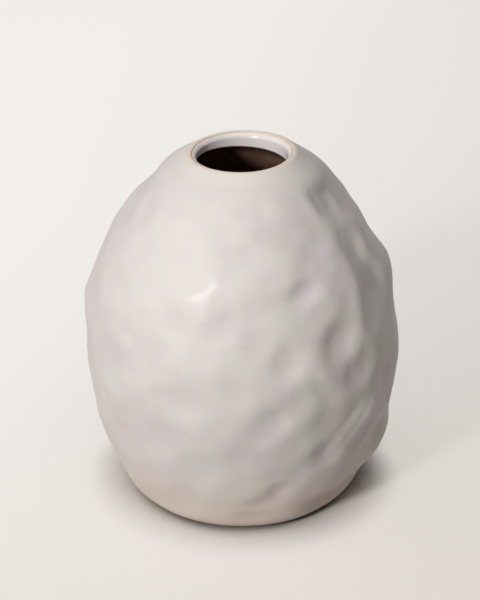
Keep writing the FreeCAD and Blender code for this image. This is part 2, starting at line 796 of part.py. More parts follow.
def build(doc):
    """Builds every piece of the vase and returns them in the order that they are made."""
    sizes = make_sheet(doc)
    derived = make_derived(doc)
    doc.recompute()
    outline = Outline(sizes, derived)
    inside = Inside(sizes, derived)
    prints = [Print(press, outline) for press in list(FRONT_PRESSES) + back_presses()]
    clay = pressed_surface(outline, prints, 0.0)
    glazed = pressed_surface(outline, prints, sizes.outer_glaze_thickness)

    hollow = make_hollow(doc, "hollow", sizes, derived, sizes.wall_thickness, "Sizes.wall_thickness")
    lined_inset = sizes.wall_thickness + sizes.liner_glaze_thickness
    lined_formula = "(Sizes.wall_thickness + Sizes.liner_glaze_thickness)"
    lined_hollow = make_hollow(doc, "lined_hollow", sizes, derived, lined_inset, lined_formula)
    base_ring = make_coil_ring(
        doc, "base_coil", "Derived.base_seam_radius", "Sizes.base_edge_height", "Sizes.base_coil_radius"
    )
    belly_ring = make_coil_ring(
        doc,
        "belly_coil",
        "Sizes.belly_radius - Sizes.wall_thickness",
        "Sizes.belly_height",
        "Sizes.belly_coil_radius",
    )
    rings = doc.addObject("Part::Compound", "joint_rings")
    rings.Links = [base_ring, belly_ring]

    base_blank = add_shape(doc, "base_blank", make_base_blank(sizes, derived, clay, outline, inside))
    lower_blank = add_shape(doc, "lower_wall_blank", make_lower_blank(sizes, clay, outline, inside))
    upper_blank = add_shape(doc, "upper_wall_blank", make_upper_blank(sizes, derived, clay, outline, inside))
    return [
        cut_away(doc, "base", base_blank, base_ring),
        cut_away(doc, "lower_wall", lower_blank, rings),
        cut_away(doc, "upper_wall", upper_blank, belly_ring),
        make_neck_collar(doc, sizes, derived),
        cut_away(doc, "base_coil", base_ring, hollow),
        cut_away(doc, "belly_coil", belly_ring, hollow),
        add_shape(doc, "outer_glaze", make_outer_glaze(sizes, clay, glazed, outline)),
        make_neck_glaze(doc, sizes, derived),
        cut_away(doc, "liner_glaze", hollow, lined_hollow),
    ]


def check(doc, pieces):
    """Stops if any object failed or any piece is empty or unsound."""
    for thing in doc.Objects:
        if "Invalid" in thing.State or "Error" in thing.State:
            raise RuntimeError(f"{thing.Name} did not rebuild: {thing.State}")
    for piece in pieces:
        if piece.Shape.isNull() or not piece.Shape.isValid() or len(piece.Shape.Solids) != 1:
            raise RuntimeError(f"{piece.Label} is not one sound solid")


def export(pieces):
    """Writes each piece to its own file and prints its volume and height range."""
    os.makedirs("parts", exist_ok=True)
    for piece in pieces:
        box = piece.Shape.BoundBox
        print(f"{piece.Label}: {piece.Shape.Volume:.1f} mm3, z {box.ZMin:.2f} to {box.ZMax:.2f}")
        piece.Shape.exportStep(f"parts/{piece.Label}.step")


document = FreeCAD.newDocument("bud_vase")
vase_pieces = build(document)
document.recompute()
check(document, vase_pieces)
export(vase_pieces)
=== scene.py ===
"""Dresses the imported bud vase: pressed clay and glaze coats, a pale floor, lamps and the camera.

The pot's sizes are in millimetres and degrees, and each mesh is scaled to metres when it is
finished. Azimuth 0 faces the camera, along -Y, and +90 is on the camera's right, along +X.
"""
import logging
import math
from dataclasses import dataclass
from enum import Enum
from typing import Dict, List, NamedTuple, Optional, Sequence, Tuple, Union

import bmesh
import bpy
import numpy as np
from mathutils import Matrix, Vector


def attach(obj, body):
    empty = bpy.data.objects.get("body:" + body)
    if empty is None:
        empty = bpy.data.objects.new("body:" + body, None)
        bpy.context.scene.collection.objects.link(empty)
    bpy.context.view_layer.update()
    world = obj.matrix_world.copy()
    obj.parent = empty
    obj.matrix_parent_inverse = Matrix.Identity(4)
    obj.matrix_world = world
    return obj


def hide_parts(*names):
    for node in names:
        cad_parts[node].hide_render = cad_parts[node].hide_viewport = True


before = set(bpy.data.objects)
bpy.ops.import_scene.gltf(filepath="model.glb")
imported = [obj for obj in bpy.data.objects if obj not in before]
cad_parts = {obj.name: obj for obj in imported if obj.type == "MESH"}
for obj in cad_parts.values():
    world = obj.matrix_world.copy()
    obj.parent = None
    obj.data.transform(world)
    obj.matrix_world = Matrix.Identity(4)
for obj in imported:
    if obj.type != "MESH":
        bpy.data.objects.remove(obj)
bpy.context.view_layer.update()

LOG = logging.getLogger("bud_vase")

MILLIMETRE = 0.001
BODY = "root"
WELD_DISTANCE = 0.0005
QUARTER_TURN = 90.0
HALF_TURN = 180.0
FULL_TURN = 360.0
SHARP_CORNER = 50.0
BACKDROP = (238, 234, 230)
VISIBLE_RAYS = ("Is Camera Ray", "Is Glossy Ray", "Is Transmission Ray")

Colour = Tuple[float, float, float]
Place = Tuple[float, float]


class Slot(Enum):
    """The record's material slots."""

    CLAY = "clay"
    OUTER_GLAZE = "outer_glaze"
    NECK_GLAZE = "neck_glaze"
    LINER_GLAZE = "liner_glaze"


class Mark(Enum):
    """Values that a mesh carries for its finish, in millimetres."""

    RIM = "rim"
    FOOT = "foot"
    PRESSED = "pressed"


class Press(NamedTuple):
    """One finger print in the clay.

    Azimuth and tilt are in degrees. Climb is the distance of its middle up the outline from the
    belly line, across and along are its reach sideways and up, and depth is how far it goes in:
    below zero it swells.
    """

    azimuth: float
    climb: float
    across: float
    along: float
    tilt: float
    depth: float


FRONT_PRESSES = tuple(Press(*numbers) for numbers in (
    (-98, 87, 26, 14, 0, 0.9), (-80, 71, 22, 16, 0, 0.5), (-88, 19, 16, 9, 0, -1.7),
    (-90, -7, 26, 18, 0, 0.9), (60, 89, 9, 12, 10, 2.2), (46, 92, 4, 12, 0, -0.6),
    (12, 95, 3, 8, 0, 0.4), (76, 83, 12, 12, 0, 2.9), (98, 77, 14, 11, 0, 2.9),
    (60, 63, 9, 10, 0, 2.2), (88, 57, 12, 9, 0, 1.6), (106, 57, 13, 14, 0, 2.0),
    (84, 41, 12, 9, 0, -1.4), (63, 39, 9, 14, 0, 3.0), (50, 41, 5, 15, -6, -0.9),
    (88, 15, 16, 12, 0, 1.8), (38, 23, 9, 12, 0, 2.0), (46, 7, 9, 8, 10, 2.0),
    (16, 21, 7, 8, 0, 1.7), (30, 12, 4, 11, 30, -0.8), (33, -16, 9, 10, 0, 1.8),
    (26, 51, 8, 5, 15, 1.7), (18, 46, 12, 6, 20, 0.7), (-3, 40, 22, 6, 26, 0.8),
    (4, 27, 24, 12, -24, 1.0), (10, -10, 20, 7, 38, 1.0), (6, -60, 20, 4, 5, 0.5),
    (17, -54, 8, 5, 25, 0.8), (66, -13, 11, 14, 20, 2.2), (55, -15, 4, 18, -30, -0.9),
    (47, -29, 10, 9, 0, 1.5), (64, -41, 12, 9, 0, 1.4), (81, -50, 20, 12, 0, -3.2),
    (48, -68, 18, 8, 0, 2.0), (-8, 76, 14, 9, 0, 0.8), (-26, 62, 14, 11, 0, 0.9),
    (-46, 48, 16, 13, 0, 0.8), (-32, 27, 18, 13, 0, 0.8), (-58, 13, 20, 14, 0, 0.8),
    (-14, 3, 20, 13, 0, 0.7), (-36, -23, 22, 13, 0, 0.8), (-10, -39, 18, 10, 0, 0.6),
    (36, 74, 12, 9, 0, 1.4), (16, 76, 10, 8, 0, 0.7), (20, -39, 14, 9, 0, 0.6),
    (15, -51, 9, 5, 10, 1.0), (32, -33, 8, 7, 0, 1.3), (48, -26, 3.5, 14, -40, -0.8),
    (40, -21, 4, 12, -40, 0.9),
))


@dataclass(frozen=True)
class BackPresses:
    """Presses over the back, in staggered rows."""

    row_count: int = 6
    row_pitch: float = 27.0
    lowest_climb: float = -56.0
    first_azimuth: float = 118.0
    last_azimuth: float = 246.0
    azimuth_pitch: float = 25.0
    row_stagger: float = 12.0
    reach: float = 12.0
    reach_swing: float = 2.0
    depth: float = 2.0
    depth_swing: float = 0.8
    tilt_swing: float = 15.0
    swing_turn: float = 140.0
    broad_reach: float = 70.0
    broad_depth: float = 0.38

    def lay(self) -> List[Press]:
        """Lays the rows, and one broad press over all of them.

        Returns:
            The presses, each of a slightly different size, tilt and depth.
        """
        presses: List[Press] = []
        for row in range(self.row_count):
            climb = self.lowest_climb + row * self.row_pitch
            azimuth = self.first_azimuth + (row % 2) * self.row_stagger
            while azimuth <= self.last_azimuth:
                swing = math.sin(math.radians(self.swing_turn * len(presses)))
                across = self.reach + self.reach_swing * swing
                along = self.reach - self.reach_swing * swing
                depth = self.depth + self.depth_swing * swing
                presses.append(Press(azimuth, climb, across, along, self.tilt_swing * swing, depth))
                azimuth += self.azimuth_pitch
        broad = self.broad_reach
        presses.append(Press(HALF_TURN, 0.0, broad, broad, 0.0, self.broad_depth))
        return presses


@dataclass(frozen=True)
class Touches:
    """Small light touches all over the pot, between and inside the big presses."""

    count: int = 330
    first_azimuth: float = 0.0
    golden_turn: float = 137.508
    lowest_climb: float = -72.0
    highest_climb: float = 92.0
    reach: float = 5.2
    reach_swing: float = 1.6
    stretch: float = 1.2
    stretch_swing: float = 0.3
    depth: float = 0.2
    depth_swing: float = 0.12
    swing_turn: float = 101.0
    other_turn: float = 171.0
    widest_tilt: float = 60.0

    def lay(self) -> List[Press]:
        """Lays the touches on a golden spiral round the pot.

        Returns:
            The touches as presses.
        """
        touches: List[Press] = []
        for number in range(self.count):
            share = (number + 0.5) / self.count
            climb = self.lowest_climb + (self.highest_climb - self.lowest_climb) * share
            azimuth = (self.first_azimuth + number * self.golden_turn) % FULL_TURN
            swing = math.sin(math.radians(self.swing_turn * number))
            other = math.cos(math.radians(self.other_turn * number))
            reach = self.reach + self.reach_swing * swing
            across = reach * (self.stretch + self.stretch_swing * other)
            depth = self.depth + self.depth_swing * other
            touches.append(Press(azimuth, climb, across, reach, self.widest_tilt * swing, depth))
        return touches


MIDDLE_TOUCHES = Touches(
    count=150, first_azimuth=40.0, reach=7.6, reach_swing=1.8,
    depth=0.7, depth_swing=0.45, swing_turn=83.0, other_turn=149.0,
)


def around(centre: Place, reach: float, angle: float) -> Place:
    """Gives the point at a distance from a centre, at an angle above level in degrees."""
    turn = math.radians(angle)
    return centre[0] + reach * math.cos(turn), centre[1] + reach * math.sin(turn)


class Bend(NamedTuple):
    """One arc of the outline.

    Its angles are those of the outward normal above level, in degrees. Base is the climb from the
    belly line that the arc would have at the level angle, if it ran on as far.
    """

    centre: Place
    radius: float
    start: float
    end: float
    base: float = 0.0

    def at(self, angle: float, inset: float = 0.0) -> Place:
        """Gives the radius and height of the arc's point at an angle, or of one inside it."""
        return around(self.centre, self.radius - inset, angle)

    def climb(self, angle: float) -> float:
        """Gives the climb from the belly line of the arc's point at an angle."""
        return self.base + self.radius * math.radians(angle)


@dataclass(frozen=True)
class PotForm:
    """The unpressed pot: an outline of tangent arcs from the rest face's edge over the lip."""

    foot_round: float = 15.0
    lower_round: float = 151.0
    belly_radius: float = 75.0
    belly_height: float = 79.0
    upper_round: float = 116.0
    shoulder_start: float = 36.0
    shoulder_round: float = 82.5
    base_edge_height: float = 15.0
    wall: float = 6.0
    bore_radius: float = 21.4
    lip_round: float = 2.6
    collar_width: float = 12.6
    coil_radius: float = 2.5
    outer_glaze: float = 0.4
    outer_glaze_foot: float = 1.6
    outer_glaze_end: float = 103.0
    neck_glaze: float = 0.3
    neck_glaze_end: float = 113.0
    liner_glaze: float = 0.4

    @property
    def foot_turn(self) -> float:
        """Angle below level of the normal where the foot's rounding meets the lower arc."""
        rise = (self.belly_height - self.foot_round) / (self.lower_round - self.foot_round)
        return math.degrees(math.asin(rise))

    @property
    def rest_radius(self) -> float:
        """Radius of the flat face that the pot stands on."""
        reach = (self.lower_round - self.foot_round) * math.cos(math.radians(self.foot_turn))
        return self.belly_radius - self.lower_round + reach

    @property
    def shoulder_centre(self) -> Place:
        """Radius and height of the shoulder arc's centre."""
        upper = (self.belly_radius - self.upper_round, self.belly_height)
        return around(upper, self.upper_round - self.shoulder_round, self.shoulder_start)

    @property
    def collar_radius(self) -> float:
        """Radius of the collar ring where it sits on the wall."""
        return self.bore_radius + self.collar_width

    @property
    def collar_lean(self) -> float:
        """Angle above level of the collar slope's normal."""
        reach = self.collar_radius - self.shoulder_centre[0]
        return math.degrees(math.acos(reach / self.shoulder_round))

    @property
    def bends(self) -> Tuple[Bend, ...]:
        """The outline's four arcs: foot, lower, upper and shoulder.

        Returns:
            The arcs, from the foot up to the collar.
        """
        foot = (self.rest_radius, self.foot_round)
        lower = (self.belly_radius - self.lower_round, self.belly_height)
        upper = (self.belly_radius - self.upper_round, self.belly_height)
        turn, start = self.foot_turn, self.shoulder_start
        foot_base = (self.foot_round - self.lower_round) * math.radians(turn)
        top_base = (self.upper_round - self.shoulder_round) * math.radians(start)
        return (
            Bend(foot, self.foot_round, -QUARTER_TURN, -turn, foot_base),
            Bend(lower, self.lower_round, -turn, 0.0),
            Bend(upper, self.upper_round, 0.0, start),
            Bend(self.shoulder_centre, self.shoulder_round, start, self.collar_lean, top_base),
        )

    @property
    def seat(self) -> float:
        """Height of the collar's seat on the wall."""
        return around(self.shoulder_centre, self.shoulder_round, self.collar_lean)[1]

    @property
    def lip_centre(self) -> Place:
        """The middle of the lip's round.

        Returns:
            Its radius and height.
        """
        lean = math.radians(self.collar_lean)
        slope = (self.collar_width - self.lip_round * (1 + math.cos(lean))) / math.sin(lean)
        height = self.seat + slope * math.cos(lean) - self.lip_round * math.sin(lean)
        return self.bore_radius + self.lip_round, height

    @property
    def top(self) -> float:
        """Height of the clay lip's crest."""
        return self.lip_centre[1] + self.lip_round

    @property
    def base_seam(self) -> Place:
        """Radius and height of the inner joint between the base and the wall."""
        return self.edge(self.base_edge_height, self.wall)

    @property
    def belly_seam(self) -> Place:
        """Radius and height of the inner joint between the wall halves."""
        return self.belly_radius - self.wall, self.belly_height

    @property
    def throat(self) -> Bend:
        """The hollow's last arc, from the shoulder in to the bore's lower edge.

        Returns:
            The arc, tangent to the hollow's upper arc.
        """
        start = math.radians(self.shoulder_start)
        begin = self.bends[2].at(self.shoulder_start, self.wall)
        inwards, rise = begin[0] - self.bore_radius, self.seat - begin[1]
        bulge = 2 * (inwards * math.cos(start) - rise * math.sin(start))
        radius = (inwards ** 2 + rise ** 2) / bulge
        centre = around(begin, -radius, self.shoulder_start)
        end = math.degrees(math.acos((self.bore_radius - centre[0]) / radius))
        return Bend(centre, radius, self.shoulder_start, end)

    @property
    def foot_climb(self) -> float:
        """Climb of the rest face's edge, below the belly line."""
        return self.bends[0].climb(-QUARTER_TURN)

    @property
    def seat_climb(self) -> float:
        """Climb of the collar's seat."""
        return self.bends[3].climb(self.collar_lean)

    def where(self, height: float, inset: float = 0.0) -> Tuple[int, float]:
        """Finds a height on the outline.

        Args:
            height: Height above the rest face.
            inset: How far the line lies inside the outline.

        Returns:
            The number of the bend and the angle on it.
        """
        number = 0
        for number, bend in enumerate(self.bends):
            if height <= bend.at(bend.end, inset)[1] + WELD_DISTANCE:
                break
        bend = self.bends[number]
        share = (height - bend.centre[1]) / (bend.radius - inset)
        return number, math.degrees(math.asin(max(-1.0, min(1.0, share))))

    def edge(self, height: float, inset: float = 0.0) -> Place:
        """Gives the radius and height of the outline's point at a height, or of one inside it."""
        number, angle = self.where(height, inset)
        return self.bends[number].at(angle, inset)

    def climbed(self, climb: float) -> Tuple[float, float, float]:
        """Finds a point of the outline by its climb from the belly line.

        Args:
            climb: Distance up the outline from the belly line.

        Returns:
            The point's radius and height, and the normal's angle above level in degrees.
        """
        bend = self.bends[0]
        for bend in self.bends:
            if climb < bend.climb(bend.end):
                break
        angle = max(math.degrees((climb - bend.base) / bend.radius), -QUARTER_TURN)
        radius, height = bend.at(angle)
        return radius, height, angle

    def unroll(self, points: np.ndarray) -> Tuple[np.ndarray, np.ndarray, np.ndarray]:
        """Finds where points near the wall lie along the outline.

        Args:
            points: Rows of x, y and z.

        Returns:
            Their climb from the belly line, their depth under the outline and its outward normals.
        """
        radius = np.hypot(points[:, 0], points[:, 1])
        height = points[:, 2]
        turns, climbs, depths = [], [], []
        for bend in self.bends:
            aside, above = radius - bend.centre[0], height - bend.centre[1]
            start, end = math.radians(bend.start), math.radians(bend.end)
            turns.append(np.clip(np.arctan2(above, aside), start, end))
            climbs.append(bend.base + bend.radius * turns[-1])
            depths.append(bend.radius - np.hypot(above, aside))
        below = height < self.belly_height
        on_foot = below & (turns[1] <= -math.radians(self.foot_turn))
        on_upper = ~below & (turns[2] < math.radians(self.shoulder_start))
        case = np.select([on_foot, below, on_upper], [0, 1, 2], 3)
        angles = np.choose(case, turns)
        outwards = points[:, :2] / np.maximum(radius, WELD_DISTANCE)[:, None]
        normals = np.column_stack([outwards * np.cos(angles)[:, None], np.sin(angles)])
        return np.choose(case, climbs), np.choose(case, depths), normals


def eased(share: np.ndarray) -> np.ndarray:
    """Smooths a share that runs from 0 to 1."""
    held = np.clip(share, 0, 1)
    return held * held * (3 - 2 * held)


@dataclass(frozen=True)
class Lip:
    """How the level mouth settles: the left of the lip sinks, and the bore's lower edge tilts."""

    tilt: float = 0.035
    back_tilt: float = 0.017
    sink: float = 0.65
    softness: float = 0.3
    wave: float = 0.12
    wave_count: int = 3
    edge_tilt: float = -0.034
    reach_down: float = 14.0

    def shift(self, form: PotForm, points: np.ndarray) -> np.ndarray:
        """Works out how far points near the mouth rise or sink.

        Args:
            form: The level pot.
            points: Rows of x, y and z.

        Returns:
            The rise of each point, below zero where it sinks.
        """
        sideways, back, height = points.T
        azimuth = np.arctan2(sideways, -back)
        lip = self.tilt * sideways + self.back_tilt * back - self.sink
        lip = lip - self.wave * (1 + np.sin(self.wave_count * azimuth))
        lip = (lip - np.sqrt(lip ** 2 + self.softness ** 2)) / 2
        rise = np.clip((height - form.seat) / (form.top - form.seat), 0, 1)
        inner = eased((form.collar_radius - np.hypot(sideways, back)) / form.collar_width)
        near = eased((height - form.seat + self.reach_down) / self.reach_down)
        return near * (lip * rise + self.edge_tilt * sideways * inner * (1 - rise))


@dataclass
class Hand:
    """Presses the finger prints into a turned mesh and settles the uneven mouth.

    The prints fade out over foot_fade and neck_fade of the outline. Clay down to the skin's depth
    moves in full, and the hollow's side by inner_share. Crispness steepens the prints' sides, and
    settle is how far the whole wall sinks.
    """

    form: PotForm
    lip: Lip
    presses: Sequence[Press]
    foot_fade: float = 14.0
    neck_fade: float = 10.0
    inner_share: float = 0.3
    skin: float = 1.0
    crispness: float = 1.4
    settle: float = 0.08

    def __post_init__(self) -> None:
        """Places each press on the outline."""
        self.prints = [self.placed(press) for press in self.presses]

    def placed(self, press: Press) -> Tuple[np.ndarray, np.ndarray, float]:
        """Places a press on the outline.

        Args:
            press: The press.

        Returns:
            Its middle, the axes across, along and into it, shortened by its reach, and its depth.
        """
        radius, height, angle = self.form.climbed(press.climb)
        azimuth, lean, tilt = (math.radians(turn) for turn in (press.azimuth, angle, press.tilt))
        outwards = np.array([math.sin(azimuth), -math.cos(azimuth), 0.0])
        level = np.array([math.cos(azimuth), math.sin(azimuth), 0.0])
        upright = np.array([0.0, 0.0, 1.0])
        normal = outwards * math.cos(lean) + upright * math.sin(lean)
        upwards = upright * math.cos(lean) - outwards * math.sin(lean)
        across = (level * math.cos(tilt) + upwards * math.sin(tilt)) / press.across
        along = (upwards * math.cos(tilt) - level * math.sin(tilt)) / press.along
        inwards = normal / max(press.across, press.along)
        middle = outwards * radius + upright * height
        return middle, np.stack([across, along, inwards]), press.depth

    def depths(self, points: np.ndarray, climbs: np.ndarray) -> np.ndarray:
        """Adds up how far the prints go in at points of the outline.

        Args:
            points: Rows of x, y and z.
            climbs: Their climbs from the belly line.

        Returns:
            The depth at each point, faded out at the foot and at the neck joint.
        """
        total = np.zeros(len(points))
        for middle, axes, depth in self.prints:
            away = (points - middle) @ axes.T
            total += depth * np.exp(-np.sum(away * away, axis=1) ** self.crispness)
        rise = np.clip((climbs - self.form.foot_climb) / self.foot_fade, 0, 1)
        fall = np.clip((self.form.seat_climb - climbs) / self.neck_fade, 0, 1)
        return (total + self.settle) * eased(rise * fall)

    def press(self, bm: bmesh.types.BMesh) -> None:
        """Moves a mesh's points as the hand does, and notes what the finish needs.

        Args:
            bm: The turned mesh, in millimetres.
        """
        form = self.form
        points = np.array([vert.co for vert in bm.verts])
        climbs, depths, normals = form.unroll(points)
        pressed = self.depths(points + normals * depths[:, None], climbs)
        through = np.clip((depths - self.skin) / (form.wall - 2 * self.skin), 0, 1)
        moved = points - normals * (pressed * (1 - (1 - self.inner_share) * through))[:, None]
        moved[:, 2] += self.lip.shift(form, points)
        bare_angle = (form.outer_glaze_end + form.neck_glaze_end) / 2
        bare_radius, bare_height = around(form.lip_centre, form.lip_round, bare_angle)
        radius = np.hypot(points[:, 0], points[:, 1])
        values = {
            Mark.PRESSED: pressed,
            Mark.FOOT: climbs - form.foot_climb,
            Mark.RIM: np.hypot(radius - bare_radius, points[:, 2] - bare_height),
        }
        layers = {mark: bm.verts.layers.float.new(mark.value) for mark in values}
        for number, vert in enumerate(bm.verts):
            vert.co = moved[number]
            for mark, numbers in values.items():
                vert[layers[mark]] = float(numbers[number])


def standing(place: Place) -> Vector:
    """Puts a radius and a height in the XZ plane."""
    return Vector((place[0], 0.0, place[1]))


class Section:
    """Half a cross-section in the XZ plane, drawn from point to point and turned round the Z axis.

    A point is given by its distance from the axis and its height.
    """

    def __init__(self, start: Place) -> None:
        """Sets down the first point."""
        self.bm = bmesh.new()
        self.first = self.last = self.bm.verts.new(standing(start))

    def line(self, end: Place, step: float = FULL_TURN) -> None:
        """Runs straight on.

        Args:
            end: The point to run to.
            step: Greatest length of an edge.
        """
        run = standing(end) - self.last.co
        count = max(1, math.ceil(run.length / step))
        for _ in range(count):
            made = bmesh.ops.extrude_vert_indiv(self.bm, verts=[self.last])
            self.last = made["verts"][0]
            bmesh.ops.translate(self.bm, verts=[self.last], vec=run / count)

    def round(self, centre: Place, angle: float, step: float) -> None:
        """Runs on round a centre.

        Args:
            centre: Radius and height of the centre.
            angle: Angle above level, seen from the centre, at which the arc ends, in degrees.
            step: Greatest length of an edge.
        """
        away = self.last.co - standing(centre)
        turn = math.radians(angle) - math.atan2(away.z, away.x)
        length = abs(turn) * away.length
        if length < WELD_DISTANCE:
            return
        made = bmesh.ops.spin(
            self.bm,
            geom=[self.last],
            cent=standing(centre),
            axis=(0.0, -1.0, 0.0),
            angle=turn,
            steps=math.ceil(length / step),
        )
        self.last = made["geom_last"][0]

    def trace(self, form: PotForm, height: float, inset: float, step: float) -> None:
        """Runs on along the pot's outline, up or down to a height.

        Args:
            form: The pot.
            height: Height at which the run ends.
            inset: How far the line lies inside the outline.
            step: Greatest length of an edge.
        """
        here, _ = form.where(self.last.co.z, inset)
        there, angle = form.where(height, inset)
        way = 1 if there >= here else -1
        for number in range(here, there, way):
            bend = form.bends[number]
            self.round(bend.centre, bend.end if way > 0 else bend.start, step)
        self.round(form.bends[there].centre, angle, step)

    def close(self) -> "Section":
        """Joins the last point to the first, and gives the section back."""
        self.bm.edges.new((self.last, self.first))
        return self

    def turned(self, columns: int) -> bmesh.types.BMesh:
        """Turns the section once round the axis.

        Args:
            columns: Number of steps round.

        Returns:
            The closed mesh, its faces outwards.
        """
        bmesh.ops.spin(
            self.bm,
            geom=self.bm.verts[:] + self.bm.edges[:],
            cent=(0.0, 0.0, 0.0),
            axis=(0.0, 0.0, 1.0),
            angle=math.radians(FULL_TURN),
            steps=columns,
            use_merge=True,
        )
        bmesh.ops.remove_doubles(self.bm, verts=self.bm.verts, dist=WELD_DISTANCE)
        bmesh.ops.recalc_face_normals(self.bm, faces=self.bm.faces)
        return self.bm


def soften_corners(bm: bmesh.types.BMesh, width: float) -> None:
    """Rounds a mesh's corners that turn by more than SHARP_CORNER degrees.

    Args:
        bm: The mesh, in millimetres.
        width: Width of the rounding.
    """
    limit = math.radians(SHARP_CORNER)
    bmesh.ops.bevel(
        bm,
        geom=[edge for edge in bm.edges if edge.is_manifold and edge.calc_face_angle(0.0) > limit],
        offset=width,
        offset_type="OFFSET",
        affect="EDGES",
        segments=2,
        profile=0.5,
        material=-1,
    )


def linear(colour: Colour) -> Tuple[float, float, float, float]:
    """Turns a colour from screen values of 0 to 255 into light values of 0 to 1.

    Args:
        colour: Red, green and blue.

    Returns:
        Red, green, blue and a full alpha.
    """
    shares = [value / 255 for value in colour]
    lights = [
        share / 12.92 if share <= 0.04045 else ((share + 0.055) / 1.055) ** 2.4
        for share in shares
    ]
    return lights[0], lights[1], lights[2], 1.0


class Ramp(NamedTuple):
    """A smooth map of the range from low to high onto start to end."""

    low: float
    high: float
    start: float = 0.0
    end: float = 1.0


class Noise(NamedTuple):
    """Soft noise: its patches' size in millimetres, and how many finer layers, how strong."""

    size: float
    detail: float = 2.0
    roughness: float = 0.5


class Specks(NamedTuple):
    """Round specks: mean pitch of their cells and radius in millimetres, chance and strength."""

    pitch: float
    radius: float
    chance: float
    strength: float


Feed = Union["Wire", float, int, Sequence[float]]
FULL_RANGE = Ramp(0.0, 1.0)


class Wire:
    """One output of a shader node, which Python's arithmetic works with."""

    def __init__(self, board: "Board", socket: bpy.types.NodeSocket) -> None:
        """Keeps the socket and the board that it is on."""
        self.board = board
        self.socket = socket

    def _math(self, operation: str, first: Feed, second: Feed) -> "Wire":
        """Adds a Math node and returns its output."""
        return self.board.node("ShaderNodeMath", {"operation": operation}, {0: first, 1: second})

    def __add__(self, other: Feed) -> "Wire":
        """Adds."""
        return self._math("ADD", self, other)

    __radd__ = __add__

    def __sub__(self, other: Feed) -> "Wire":
        """Takes away."""
        return self._math("SUBTRACT", self, other)

    def __rsub__(self, other: Feed) -> "Wire":
        """Is taken away."""
        return self._math("SUBTRACT", other, self)

    def __mul__(self, other: Feed) -> "Wire":
        """Multiplies."""
        return self._math("MULTIPLY", self, other)

    __rmul__ = __mul__

    def along(self, ramp: Ramp) -> "Wire":
        """Maps the value along a ramp."""
        inputs = {0: self, 1: ramp.low, 2: ramp.high, 3: ramp.start, 4: ramp.end}
        return self.board.node("ShaderNodeMapRange", {"interpolation_type": "SMOOTHSTEP"}, inputs)


